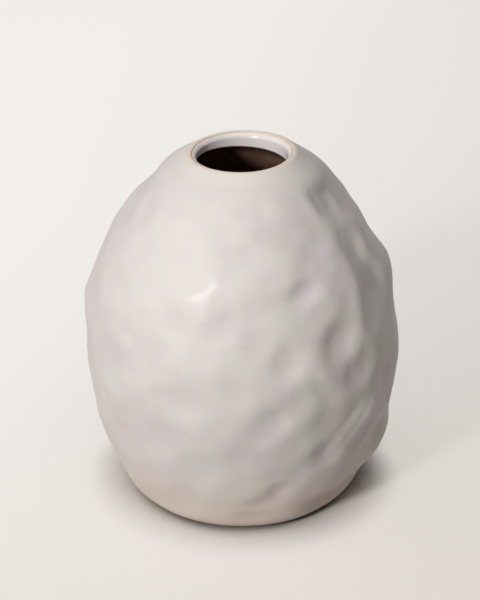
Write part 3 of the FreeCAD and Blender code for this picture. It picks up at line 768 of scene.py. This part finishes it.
class Board:
    """The nodes of a material or of the world, added one call at a time."""

    speck_edge: Tuple[float, float] = (0.55, 1.3)
    chance_edge: float = 0.01

    def __init__(self, owner: Union[bpy.types.Material, bpy.types.World]) -> None:
        """Clears the owner's nodes.

        Args:
            owner: The material or the world.
        """
        owner.use_nodes = True
        self.owner = owner
        self.tree = owner.node_tree
        self.tree.nodes.clear()

    def node(
        self,
        kind: str,
        settings: Optional[Dict[str, object]] = None,
        inputs: Optional[Dict[Union[str, int], Feed]] = None,
        output: Union[str, int] = 0,
    ) -> Wire:
        """Adds a node.

        Args:
            kind: The node's type.
            settings: Its settings, set first.
            inputs: The values or wires of its sockets, by name or number.
            output: The output wanted, by name or number.

        Returns:
            That output.
        """
        made = self.tree.nodes.new(kind)
        for key, value in (settings or {}).items():
            setattr(made, key, value)
        for key, value in (inputs or {}).items():
            if isinstance(value, Wire):
                self.tree.links.new(value.socket, made.inputs[key])
            else:
                made.inputs[key].default_value = value
        return Wire(self, made.outputs[output])

    def place(self) -> Wire:
        """Gives the object's own coordinates, in metres."""
        return self.node("ShaderNodeTexCoord", output="Object")

    def mark(self, mark: Mark) -> Wire:
        """Gives one of the values that the mesh carries."""
        return self.node("ShaderNodeAttribute", {"attribute_name": mark.value}, output="Fac")

    def noise(self, place: Wire, noise: Noise) -> Wire:
        """Adds soft noise, about 0.5 in the middle."""
        return self.node("ShaderNodeTexNoise", None, {
            "Vector": place,
            "Scale": 1 / (noise.size * MILLIMETRE),
            "Detail": noise.detail,
            "Roughness": noise.roughness,
        })

    def specks(self, place: Wire, specks: Specks) -> Wire:
        """Scatters small round specks.

        Args:
            place: The coordinates.
            specks: Their size, chance and strength.

        Returns:
            The mask, which has the specks' strength inside a speck.
        """
        inputs = {"Vector": place, "Scale": 1 / (specks.pitch * MILLIMETRE), "Randomness": 1.0}
        near = self.node("ShaderNodeTexVoronoi", None, inputs, output="Distance")
        lot = self.node("ShaderNodeTexVoronoi", None, inputs, output="Color")
        draw = self.node("ShaderNodeSeparateColor", None, {0: lot})
        inside, outside = (specks.radius / specks.pitch * edge for edge in self.speck_edge)
        spot = near.along(Ramp(inside, outside, specks.strength, 0.0))
        return spot * draw.along(Ramp(specks.chance, specks.chance + self.chance_edge, 1.0, 0.0))

    def painted(self, ground: Colour, *coats: Tuple[Feed, Colour]) -> Feed:
        """Lays colours over one another.

        Args:
            ground: The lowest colour.
            *coats: The share and the colour of each one above it.

        Returns:
            The colour that shows.
        """
        colour: Feed = linear(ground)
        for share, coat in coats:
            inputs = {0: share, 6: colour, 7: linear(coat)}
            colour = self.node("ShaderNodeMix", {"data_type": "RGBA"}, inputs, output=2)
        return colour

    def swung(self, middle: float, *swings: Tuple[Wire, float]) -> Feed:
        """Lets a value swing with noises.

        Args:
            middle: The value where every noise is 0.5.
            *swings: Each noise and how much the value swings with it.

        Returns:
            The value.
        """
        value: Feed = middle - sum(swing for _, swing in swings) / 2
        for noise, swing in swings:
            value = noise * swing + value
        return value

    def bump(self, height: Wire, depth: float) -> Wire:
        """Turns a height of 0 to 1 into the normal of a relief that is so many millimetres deep."""
        return self.node("ShaderNodeBump", None, {"Height": height, "Distance": depth * MILLIMETRE})

    def seen(self) -> Wire:
        """Gives 1 for rays from the camera, a reflection or a clear piece, and 0 for others."""
        rays = [self.node("ShaderNodeLightPath", output=name) for name in VISIBLE_RAYS]
        return rays[0] + rays[1] + rays[2]

    def glow(self, colour: Feed) -> Wire:
        """Shows a colour as it is written."""
        return self.node("ShaderNodeEmission", None, {"Color": colour, "Strength": 1.0})

    def blend(self, share: Feed, first: Wire, second: Wire) -> Wire:
        """Mixes two shaders by the share of the second."""
        return self.node("ShaderNodeMixShader", None, {0: share, 1: first, 2: second})

    def coat(self, **sockets: Feed) -> Wire:
        """Adds a Principled shader, its sockets named with low lines for their spaces."""
        inputs = {key.replace("_", " "): value for key, value in sockets.items()}
        return self.node("ShaderNodeBsdfPrincipled", None, inputs)

    def close(self, shader: Wire, kind: str = "ShaderNodeOutputMaterial") -> bpy.types.ID:
        """Links a shader to a new output node.

        Args:
            shader: The shader.
            kind: The output node's type.

        Returns:
            The material or the world.
        """
        output = self.tree.nodes.new(kind)
        self.tree.links.new(shader.socket, output.inputs["Surface"])
        return self.owner


@dataclass(frozen=True)
class SatinGlaze:
    """The outer glaze: pale and satin, lilac in the hollows, creamy on ridges, warm at the lip,
    with painted bounce light towards the foot and painted contact shade at its lowest edge.
    """

    body: Colour = (229, 225, 222)
    cool: Colour = (227, 216, 220)
    cool_clouds: Ramp = Ramp(0.4, 0.62, 0.0, 0.7)
    cool_hollows: Ramp = Ramp(0.6, 2.6, 0.0, 0.3)
    cream: Colour = (234, 226, 218)
    cream_patches: Ramp = Ramp(0.46, 0.7, 0.0, 0.6)
    cream_swells: Ramp = Ramp(-1.6, 0.0, 0.5, 0.0)
    # Painted bounce light: a warmer, brighter colour towards the foot stands in for the light that
    # the floor throws up onto the low parts, swinging with the clouds.
    painted_bounce: Colour = (237, 220, 207)
    painted_bounce_foot: Ramp = Ramp(8.0, 62.0, 1.0, 0.0)
    painted_bounce_middle: float = 0.7
    painted_bounce_swing: float = 0.7
    pool: Colour = (243, 237, 232)
    pool_rim: Ramp = Ramp(3.0, 20.0, 0.75, 0.0)
    thin: Colour = (248, 231, 213)
    thin_rim: Ramp = Ramp(0.6, 3.8, 1.0, 0.0)
    thin_clouds: Ramp = Ramp(0.4, 0.6, 0.5, 1.0)
    # Painted contact shade: a dark honey-brown band along the coat's lowest edge, just above the
    # table, where shade falls under the foot.
    painted_foot_shade: Colour = (176, 124, 74)
    painted_foot_shade_band: Ramp = Ramp(5.0, 8.5, 0.6, 0.0)
    speck: Colour = (128, 102, 84)
    fine_specks: Specks = Specks(6.0, 0.24, 0.3, 0.55)
    broad_specks: Specks = Specks(14.0, 0.36, 0.25, 0.5)
    clouds: Noise = Noise(38.0, 3.0)
    patches: Noise = Noise(9.0, 4.0, 0.6)
    grain: Noise = Noise(1.4)
    roughness: float = 0.6
    cloud_swing: float = 0.12
    grain_swing: float = 0.06
    patch_relief: float = 0.55
    grain_relief: float = 0.12
    speck_pit: float = 0.5
    relief: float = 0.36
    gloss: float = 0.13
    gloss_roughness: float = 0.26

    def make(self) -> bpy.types.Material:
        """Builds the material.

        Returns:
            The material.
        """
        board = Board(bpy.data.materials.new("satin_outer_glaze"))
        place = board.place()
        clouds = board.noise(place, self.clouds)
        patches = board.noise(place, self.patches)
        grain = board.noise(place, self.grain)
        pressed, foot, rim = (board.mark(mark) for mark in (Mark.PRESSED, Mark.FOOT, Mark.RIM))
        dots = board.specks(place, self.fine_specks) + board.specks(place, self.broad_specks)
        painted_bounce_clouds = board.swung(self.painted_bounce_middle, (clouds, self.painted_bounce_swing))
        relief = patches * self.patch_relief + grain * self.grain_relief - dots * self.speck_pit
        return board.close(board.coat(
            Base_Color=board.painted(
                self.body,
                (clouds.along(self.cool_clouds) + pressed.along(self.cool_hollows), self.cool),
                (patches.along(self.cream_patches) + pressed.along(self.cream_swells), self.cream),
                # painted bounce light, warmer and brighter towards the foot
                (foot.along(self.painted_bounce_foot) * painted_bounce_clouds, self.painted_bounce),
                (rim.along(self.pool_rim), self.pool),
                (rim.along(self.thin_rim) * clouds.along(self.thin_clouds), self.thin),
                # painted contact shade along the coat's lowest edge
                (foot.along(self.painted_foot_shade_band), self.painted_foot_shade),
                (dots, self.speck),
            ),
            Roughness=board.swung(
                self.roughness, (clouds, self.cloud_swing), (grain, self.grain_swing)
            ),
            Normal=board.bump(relief, self.relief),
            Coat_Weight=self.gloss,
            Coat_Roughness=self.gloss_roughness,
        ))


@dataclass(frozen=True)
class NeckGlaze:
    """The bore's glaze: pale, cool and glossy, warm where it thins at the lip."""

    body: Colour = (245, 238, 238)
    warm: Colour = (247, 231, 215)
    warm_rim: Ramp = Ramp(0.4, 1.4, 0.8, 0.0)
    clouds: Noise = Noise(12.0, 3.0)
    roughness: float = 0.14
    cloud_swing: float = 0.08
    relief: float = 0.12

    def make(self) -> bpy.types.Material:
        """Builds the material.

        Returns:
            The material.
        """
        board = Board(bpy.data.materials.new("glossy_neck_glaze"))
        clouds = board.noise(board.place(), self.clouds)
        warmth = board.mark(Mark.RIM).along(self.warm_rim)
        return board.close(board.coat(
            Base_Color=board.painted(self.body, (warmth, self.warm)),
            Roughness=board.swung(self.roughness, (clouds, self.cloud_swing)),
            Normal=board.bump(clouds, self.relief),
        ))


@dataclass(frozen=True)
class UmberGlaze:
    """The hollow's glaze: glossy dark brown with warmer runs."""

    body: Colour = (144, 110, 95)
    run: Colour = (178, 146, 124)
    run_share: Ramp = Ramp(0.48, 0.75)
    run_stretch: Tuple[float, float, float] = (1.0, 1.0, 0.25)
    runs: Noise = Noise(9.0, 3.0, 0.55)
    clouds: Noise = Noise(22.0)
    roughness: float = 0.2
    cloud_swing: float = 0.16
    run_relief: float = 0.7
    cloud_relief: float = 0.6
    relief: float = 0.5

    def make(self) -> bpy.types.Material:
        """Builds the material.

        Returns:
            The material.
        """
        board = Board(bpy.data.materials.new("umber_liner_glaze"))
        place = board.place()
        drawn = board.node("ShaderNodeMapping", None, {"Vector": place, "Scale": self.run_stretch})
        runs = board.noise(drawn, self.runs)
        clouds = board.noise(place, self.clouds)
        relief = runs * self.run_relief + clouds * self.cloud_relief
        return board.close(board.coat(
            Base_Color=board.painted(self.body, (runs.along(self.run_share), self.run)),
            Roughness=board.swung(self.roughness, (clouds, self.cloud_swing)),
            Normal=board.bump(relief, self.relief),
        ))


@dataclass(frozen=True)
class BareClay:
    """Fired stoneware without glaze: matt, sandy and grogged."""

    body: Colour = (240, 218, 194)
    dark: Colour = (220, 182, 146)
    dark_clouds: Ramp = Ramp(0.35, 0.7)
    grog: Colour = (234, 210, 182)
    grog_specks: Specks = Specks(2.6, 0.35, 0.35, 0.7)
    iron: Colour = (92, 62, 44)
    iron_specks: Specks = Specks(4.2, 0.3, 0.2, 0.8)
    clouds: Noise = Noise(16.0, 4.0, 0.6)
    grain: Noise = Noise(0.7, 3.0, 0.6)
    roughness: float = 0.82
    grain_swing: float = 0.2
    cloud_relief: float = 0.5
    relief: float = 0.12

    def make(self) -> bpy.types.Material:
        """Builds the material.

        Returns:
            The material.
        """
        board = Board(bpy.data.materials.new("bare_stoneware"))
        place = board.place()
        clouds = board.noise(place, self.clouds)
        grain = board.noise(place, self.grain)
        return board.close(board.coat(
            Base_Color=board.painted(
                self.body,
                (clouds.along(self.dark_clouds), self.dark),
                (board.specks(place, self.grog_specks), self.grog),
                (board.specks(place, self.iron_specks), self.iron),
            ),
            Roughness=board.swung(self.roughness, (grain, self.grain_swing)),
            Normal=board.bump(grain + clouds * self.cloud_relief, self.relief),
        ))


@dataclass(frozen=True)
class FloorFinish:
    """The studio floor: matt and white, with painted light that makes it brighter towards the back
    and the left, and painted contact shade round the vase's foot.
    """

    albedo: Colour = (245, 241, 237)
    bounce: Colour = (186, 181, 176)
    # Painted contact shade: the floor's colour turns dark brown where the vase closes over it near
    # the foot; the occlusion reach also cuts the glow there.
    painted_contact_shade: Colour = (84, 68, 58)
    occlusion_reach: float = 0.026
    painted_contact_shade_share: Ramp = Ramp(0.05, 0.48, 0.9, 0.0)
    # Painted light: the glow runs from the near colour to the brighter far one towards the back and
    # the left, on the lamps' side, and its share is smaller on the right, so the vase's shadow
    # there shows deeper.
    near: Colour = (233, 225, 219)
    far: Colour = (255, 252, 248)
    far_lean: float = 0.8
    far_share: Ramp = Ramp(-0.35, 0.45)
    glow_lean: float = 0.35
    glow_share: Ramp = Ramp(-0.1, 0.35, 0.66, 0.82)
    clear_share: Ramp = Ramp(0.46, 0.92)
    fade_share: Ramp = Ramp(0.85, 3.0)
    grain: Noise = Noise(3.0, 3.0)
    grain_middle: float = 0.95
    grain_swing: float = 0.1
    roughness: float = 0.85
    shine: float = 0.2

    def make(self) -> bpy.types.Material:
        """Builds the material.

        Returns:
            The material.
        """
        board = Board(bpy.data.materials.new("studio_floor"))
        place = board.place()
        east, north = (board.node("ShaderNodeSeparateXYZ", None, {0: place}, axis) for axis in "XY")
        reach = board.node("ShaderNodeVectorMath", {"operation": "LENGTH"}, {0: place}, "Value")
        inputs = {"Distance": self.occlusion_reach}
        openness = board.node("ShaderNodeAmbientOcclusion", {"samples": 8}, inputs, "AO")
        seen = board.seen()
        shown = seen.along(FULL_RANGE)
        grain = board.swung(self.grain_middle, (board.noise(place, self.grain), self.grain_swing))
        lamp_lit = board.coat(
            Base_Color=board.painted(
                self.bounce,
                (seen * grain, self.albedo),
                # painted contact shade where the vase closes over the floor
                (openness.along(self.painted_contact_shade_share), self.painted_contact_shade),
            ),
            Roughness=self.roughness,
            Specular_IOR_Level=self.shine,
        )
        # painted light: brighter towards the back and the left, a weaker glow on the right where
        # the shadow lies
        depth = (north - east * self.far_lean).along(self.far_share)
        glowing = board.glow(board.painted(self.near, (depth, self.far)))
        glow_share = (north * self.glow_lean - east).along(self.glow_share)
        share = shown * openness.along(self.clear_share) * glow_share
        near_floor = board.blend(share, lamp_lit, glowing)
        fade = shown * reach.along(self.fade_share)
        return board.close(board.blend(fade, near_floor, board.glow(linear(BACKDROP))))


def dress(piece: bpy.types.Object, material: bpy.types.Material) -> None:
    """Gives a piece its material, in its slots or as its first.

    Args:
        piece: The piece.
        material: Its finish.
    """
    for slot in piece.material_slots:
        slot.material = material
    if not piece.material_slots:
        piece.data.materials.append(material)


@dataclass
class Layer:
    """A layer of the pot: pieces that are turned from a section and pressed by the hand."""

    form: PotForm
    hand: Hand

    def piece(
        self, name: str, node: str, slot: Slot, section: Section, columns: int, softening: float = 0
    ) -> bpy.types.Object:
        """Turns a section, softens its corners, presses it and makes it a piece of the vase.

        Args:
            name: The piece's name.
            node: The node that it stands for.
            slot: The record's slot of its finish; not used.
            section: Its section.
            columns: Number of steps round.
            softening: Width of the rounding at sharp corners.

        Returns:
            The piece, in metres, riding on the vase's body.
        """
        bm = section.turned(columns)
        if softening:
            soften_corners(bm, softening)
        self.hand.press(bm)
        bmesh.ops.scale(bm, vec=(MILLIMETRE,) * 3, verts=bm.verts)
        mesh = bpy.data.meshes.new(name)
        bm.to_mesh(mesh)
        bm.free()
        mesh.shade_smooth()
        piece = bpy.data.objects.new(name, mesh)
        bpy.context.scene.collection.objects.link(piece)
        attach(piece, BODY)
        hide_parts(node)
        return piece


@dataclass
class ClayBody(Layer):
    """The clay under the glaze: base, two wall halves and collar, with a coil in each joint."""

    columns: int = 180
    step: float = 2.5
    groove_step: float = 0.7
    coils: Tuple[str, ...] = ("base_coil", "belly_coil")

    def build(self) -> List[bpy.types.Object]:
        """Builds the four pieces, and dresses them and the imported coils.

        Returns:
            The pieces and the coils.
        """
        clay = BareClay().make()
        pieces = [
            self.piece(name, node, Slot.CLAY, section, self.columns)
            for name, node, section in (
                ("pinched_base", "base", self.base()),
                ("lower_wall_clay", "lower_wall", self.lower_wall()),
                ("upper_wall_clay", "upper_wall", self.upper_wall()),
                ("lip_collar", "neck_collar", self.collar()),
            )
        ]
        pieces += [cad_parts[name] for name in self.coils]
        for piece in pieces:
            dress(piece, clay)
        return pieces

    def upwards(self, height: float) -> float:
        """Gives the direction of the hollow's wall at a height, above level in degrees."""
        return self.form.where(height, self.form.wall)[1] + QUARTER_TURN

    def base(self) -> Section:
        """Draws the base: a flat floor with a short turned-up edge.

        Returns:
            Its section.
        """
        form, seam = self.form, self.form.base_seam
        section = Section((0.0, 0.0))
        section.line((form.rest_radius, 0.0), self.step * 2)
        section.trace(form, form.base_edge_height, 0.0, self.step)
        section.line((seam[0] + form.coil_radius, seam[1]))
        section.round(seam, self.upwards(seam[1]) - HALF_TURN, self.groove_step)
        section.trace(form, form.wall, form.wall, self.step)
        section.line((0.0, form.wall), self.step * 2)
        return section

    def lower_wall(self) -> Section:
        """Draws the wall from the base's edge to the belly line.

        Returns:
            Its section.
        """
        form, seam, belly = self.form, self.form.base_seam, self.form.belly_seam
        groove_end = around(seam, form.coil_radius, self.upwards(seam[1]))[1]
        section = Section(form.edge(form.base_edge_height))
        section.trace(form, form.belly_height, 0.0, self.step)
        section.line((belly[0] + form.coil_radius, belly[1]))
        section.round(belly, -QUARTER_TURN, self.groove_step)
        section.trace(form, groove_end, form.wall, self.step)
        section.round(seam, 0.0, self.groove_step)
        return section.close()

    def upper_wall(self) -> Section:
        """Draws the wall from the belly line to the collar's seat.

        Returns:
            Its section.
        """
        form, upper = self.form, self.form.bends[2]
        groove_end = math.degrees(math.asin(form.coil_radius / (upper.radius - form.wall)))
        section = Section((form.belly_radius, form.belly_height))
        section.trace(form, form.seat, 0.0, self.step)
        section.line((form.bore_radius, form.seat), self.step)
        section.round(form.throat.centre, form.throat.start, self.step)
        section.round(upper.centre, groove_end, self.step)
        section.round(form.belly_seam, 0.0, self.groove_step)
        return section.close()

    def collar(self) -> Section:
        """Draws the collar ring with the bore and the rounded lip.

        Returns:
            Its section.
        """
        form = self.form
        section = Section((form.bore_radius, form.seat))
        section.line((form.collar_radius, form.seat), self.step)
        section.line(around(form.lip_centre, form.lip_round, form.collar_lean), self.step / 2)
        section.round(form.lip_centre, HALF_TURN, self.step / 8)
        return section.close()


@dataclass
class GlazeCoats(Layer):
    """The three coats of glaze: satin outside, glossy in the bore, dark in the hollow."""

    columns: int = 288
    step: float = 1.5
    hidden_step: float = 4.0
    lip_step: float = 0.3
    inner_columns: int = 144
    inner_step: float = 2.5
    softening: float = 0.12

    def build(self) -> List[bpy.types.Object]:
        """Builds and dresses the coats.

        Returns:
            The coats.
        """
        soft, columns, inner = self.softening, self.columns, self.inner_columns
        sorts = (
            ("outer_glaze_coat", Slot.OUTER_GLAZE, self.outer(), columns, soft, SatinGlaze()),
            ("bore_glaze_coat", Slot.NECK_GLAZE, self.neck(), columns, soft / 2, NeckGlaze()),
            ("liner_glaze_coat", Slot.LINER_GLAZE, self.liner(), inner, 0.0, UmberGlaze()),
        )
        coats: List[bpy.types.Object] = []
        for name, slot, section, steps, softening, finish in sorts:
            coats.append(self.piece(name, slot.value, slot, section, steps, softening))
            dress(coats[-1], finish.make())
        return coats

    def outer(self) -> Section:
        """Draws the coat from just above the table to the lip's crest.

        Returns:
            Its section.
        """
        form, centre, glaze = self.form, self.form.lip_centre, self.form.outer_glaze
        section = Section(form.edge(form.outer_glaze_foot, -glaze))
        section.trace(form, form.bends[3].at(form.collar_lean, -glaze)[1], -glaze, self.step)
        section.line(around(centre, form.lip_round + glaze, form.collar_lean), self.step / 2)
        section.round(centre, form.outer_glaze_end, self.lip_step)
        section.line(around(centre, form.lip_round, form.outer_glaze_end))
        section.round(centre, form.collar_lean, self.lip_step * 2)
        section.line((form.collar_radius, form.seat), self.hidden_step)
        section.trace(form, form.outer_glaze_foot, 0.0, self.hidden_step)
        return section.close()

    def neck(self) -> Section:
        """Draws the coat of the bore, with its sharp lower edge.

        Returns:
            Its section.
        """
        form, centre, end = self.form, self.form.lip_centre, self.form.neck_glaze_end
        section = Section(around(centre, form.lip_round, end))
        section.line(around(centre, form.lip_round + form.neck_glaze, end))
        section.round(centre, HALF_TURN, self.lip_step)
        section.line((form.bore_radius - form.neck_glaze, form.seat), self.lip_step * 2)
        section.line((form.bore_radius, form.seat))
        section.line((form.bore_radius, centre[1]), self.lip_step * 2)
        section.round(centre, end, self.lip_step)
        return section.close()

    def liner(self) -> Section:
        """Draws the coat of the hollow, closed over its floor.

        Returns:
            Its section.
        """
        form, throat = self.form, self.form.throat
        inset = form.wall + form.liner_glaze
        reach = (form.bore_radius - throat.centre[0]) / (throat.radius - form.liner_glaze)
        section = Section((0.0, inset))
        section.line((form.rest_radius, inset), self.inner_step)
        shoulder = form.bends[2].at(form.shoulder_start, inset)[1]
        section.trace(form, shoulder, inset, self.inner_step)
        section.round(throat.centre, math.degrees(math.acos(reach)), self.inner_step)
        section.line((form.bore_radius, form.seat))
        section.round(throat.centre, throat.start, self.inner_step * 2)
        section.trace(form, form.wall, form.wall, self.inner_step * 2)
        section.line((0.0, form.wall), self.inner_step * 2)
        return section


class Lamp(NamedTuple):
    """A round lamp: its place seen from the vase's middle, its width and its power in watts."""

    name: str
    azimuth: float
    elevation: float
    distance: float
    width: float
    power: float


@dataclass(frozen=True)
class Studio:
    """The pale floor, the lamps, the even light around and the camera, in metres.

    A small lamp hangs on the left in front, and broad ones high up and far left.
    """

    floor_radius: float = 6.0
    floor_corners: int = 96
    lamps: Tuple[Lamp, ...] = (
        Lamp("key", -34.0, 26.0, 1.6, 0.22, 14.0),
        Lamp("fill", 0.0, 74.0, 1.8, 1.6, 11.5),
        Lamp("side", -92.0, 22.0, 1.5, 1.2, 2.6),
    )
    lamp_colour: Colour = (255, 253, 250)
    ambient: float = 0.045
    ambient_colour: Colour = (255, 251, 246)
    aim_height: float = 0.0956
    aim_side: float = -0.00097
    eye_distance: float = 0.9
    eye_elevation: float = 27.5
    eye_aim_height: float = 0.088
    sensor: float = 36.0
    focal_pixels: float = 1886.0
    picture_height: float = 600.0

    def build(self) -> None:
        """Sets the stage."""
        self.floor()
        for lamp in self.lamps:
            self.hang(lamp)
        self.surroundings()
        self.camera()

    def floor(self) -> None:
        """Lays the floor."""
        bm = bmesh.new()
        bmesh.ops.create_circle(
            bm, cap_ends=True, radius=self.floor_radius, segments=self.floor_corners
        )
        mesh = bpy.data.meshes.new("floor")
        bm.to_mesh(mesh)
        bm.free()
        floor = bpy.data.objects.new("floor", mesh)
        bpy.context.scene.collection.objects.link(floor)
        dress(floor, FloorFinish().make())

    def hang(self, lamp: Lamp) -> None:
        """Hangs a lamp so that it faces the vase.

        Args:
            lamp: The lamp.
        """
        light = bpy.data.lights.new(lamp.name, "AREA")
        light.shape = "DISK"
        light.size = lamp.width
        light.energy = lamp.power
        light.color = linear(self.lamp_colour)[:3]
        hung = bpy.data.objects.new(lamp.name, light)
        azimuth, elevation = math.radians(lamp.azimuth), math.radians(lamp.elevation)
        level = math.cos(elevation)
        away = Vector((level * math.sin(azimuth), -level * math.cos(azimuth), math.sin(elevation)))
        hung.location = away * lamp.distance + Vector((0, 0, self.aim_height))
        hung.rotation_euler = away.to_track_quat("Z", "Y").to_euler()
        bpy.context.scene.collection.objects.link(hung)

    def surroundings(self) -> None:
        """Sets the even light around, and the pale backdrop that camera and reflections see."""
        board = Board(bpy.data.worlds.new("studio"))
        fill, backdrop = (
            board.node("ShaderNodeBackground", None, {"Color": linear(colour), "Strength": power})
            for colour, power in ((self.ambient_colour, self.ambient), (BACKDROP, 1.0))
        )
        shown = board.blend(board.seen(), fill, backdrop)
        bpy.context.scene.world = board.close(shown, "ShaderNodeOutputWorld")

    def camera(self) -> None:
        """Sets up the camera at the photograph's viewing angle."""
        lens = bpy.data.cameras.new("camera")
        lens.sensor_fit = "VERTICAL"
        lens.sensor_height = self.sensor
        lens.lens = self.focal_pixels / self.picture_height * self.sensor
        camera = bpy.data.objects.new("camera", lens)
        aim = Vector((self.aim_side, 0, self.aim_height))
        away, up = around((0.0, self.eye_aim_height), self.eye_distance, self.eye_elevation)
        eye = Vector((0, -away, up))
        camera.location = eye
        camera.rotation_euler = (aim - eye).to_track_quat("-Z", "Y").to_euler()
        bpy.context.scene.collection.objects.link(camera)
        bpy.context.scene.camera = camera


def main() -> None:
    """Builds and dresses the vase, reports its pieces and sets the stage."""
    logging.basicConfig(level=logging.INFO)
    form = PotForm()
    prints = list(FRONT_PRESSES) + BackPresses().lay() + Touches().lay() + MIDDLE_TOUCHES.lay()
    hand = Hand(form, Lip(), prints)
    for layer in (ClayBody(form, hand), GlazeCoats(form, hand)):
        for piece in layer.build():
            faces = len(piece.data.polygons)
            LOG.info("%s: %d faces, in %s", piece.name, faces, piece.active_material.name)
    Studio().build()
    bpy.context.scene.view_settings.view_transform = "Standard"


if __name__ == "__main__":
    main()
